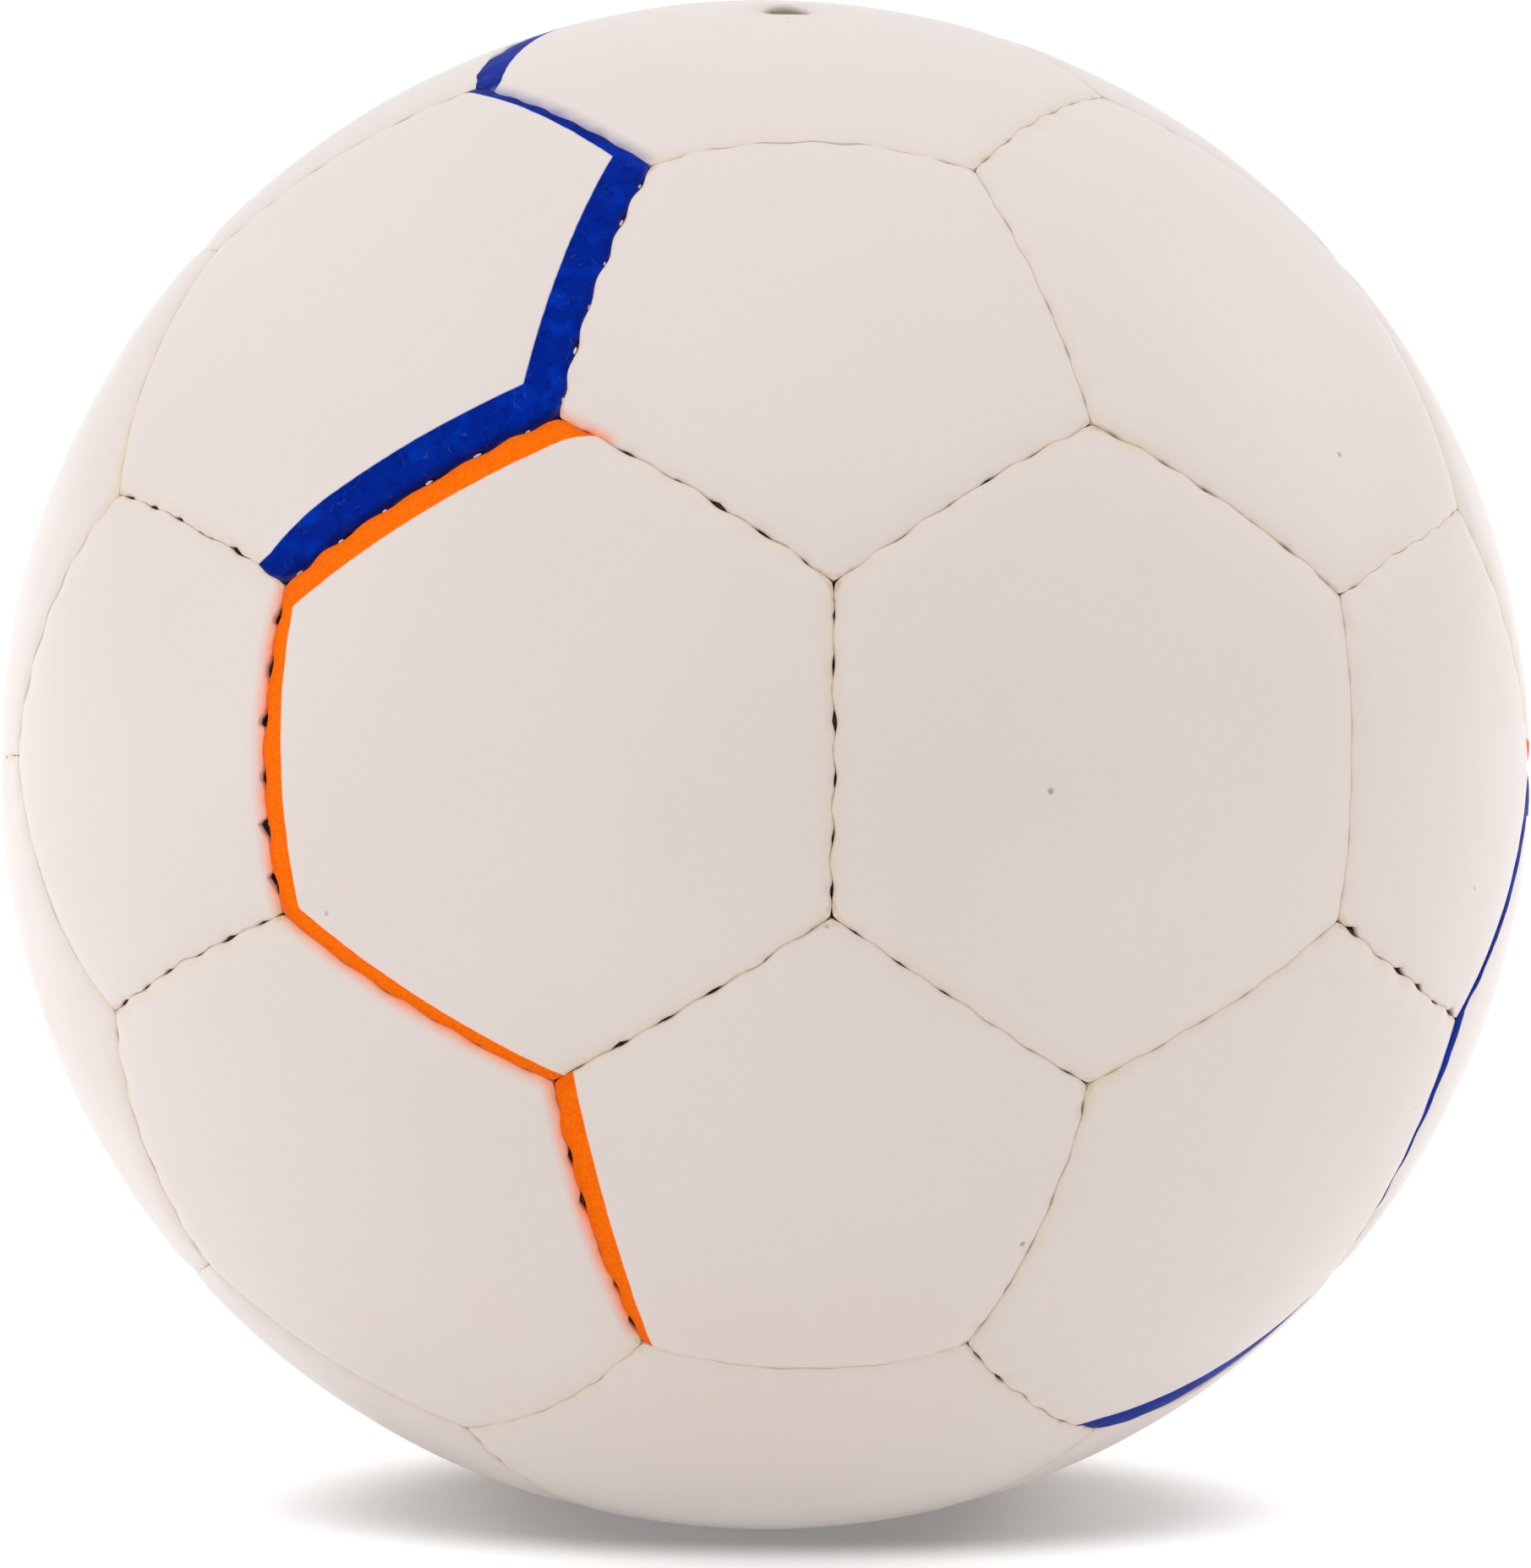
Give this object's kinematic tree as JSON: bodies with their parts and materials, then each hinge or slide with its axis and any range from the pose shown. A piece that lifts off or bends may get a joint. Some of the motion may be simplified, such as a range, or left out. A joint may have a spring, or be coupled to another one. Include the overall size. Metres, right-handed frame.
{
  "type": "handball",
  "caption": "Stitched team handball: pentagon and hexagon panels with blue and orange seam stripes, cloth linings, inner bladder and needle valve.",
  "frame": {"origin": "centre of the ball", "axes": "+Z out through the valve, along the axis of the needle's bore; -Y out through the seam between the two hexagons that face the camera; +X to the right of that view"},
  "size_m": [0.1878, 0.188, 0.188],
  "materials": {
    "cover": "white synthetic leather with a fine grain and a soft sheen, with blue and orange stripes printed along some seams",
    "lining": "woven polyester and cotton cloth, glued in layers",
    "thread": "dark waxed polyester thread",
    "bladder": "matte butyl rubber",
    "valve_rubber": "moulded grey-brown rubber",
    "core_rubber": "soft moulded rubber, lightly oiled"
  },
  "bodies": {
    "root": {"valve_panel": "cover", "hexagon_panel_01": "cover", "hexagon_panel_02": "cover", "hexagon_panel_03": "cover", "hexagon_panel_04": "cover", "hexagon_panel_05": "cover", "hexagon_panel_06": "cover", "hexagon_panel_07": "cover", "hexagon_panel_08": "cover", "hexagon_panel_09": "cover", "hexagon_panel_10": "cover", "hexagon_panel_11": "cover", "hexagon_panel_12": "cover", "hexagon_panel_13": "cover", "hexagon_panel_14": "cover", "hexagon_panel_15": "cover", "hexagon_panel_16": "cover", "hexagon_panel_17": "cover", "hexagon_panel_18": "cover", "hexagon_panel_19": "cover", "pentagon_panel_01": "cover", "pentagon_panel_02": "cover", "pentagon_panel_03": "cover", "pentagon_panel_04": "cover", "pentagon_panel_05": "cover", "pentagon_panel_06": "cover", "pentagon_panel_07": "cover", "pentagon_panel_08": "cover", "pentagon_panel_09": "cover", "pentagon_panel_10": "cover", "pentagon_panel_11": "cover", "pentagon_panel_12": "cover", "seam_threads_01": "thread", "seam_threads_02": "thread", "seam_threads_03": "thread", "seam_threads_04": "thread", "seam_threads_05": "thread", "seam_threads_06": "thread", "hexagon_linings": "lining", "pentagon_linings": "lining", "bladder": "bladder", "valve_stem": "valve_rubber", "valve_core": "core_rubber", "valve_patch": "lining"}
  },
  "joints": []
}
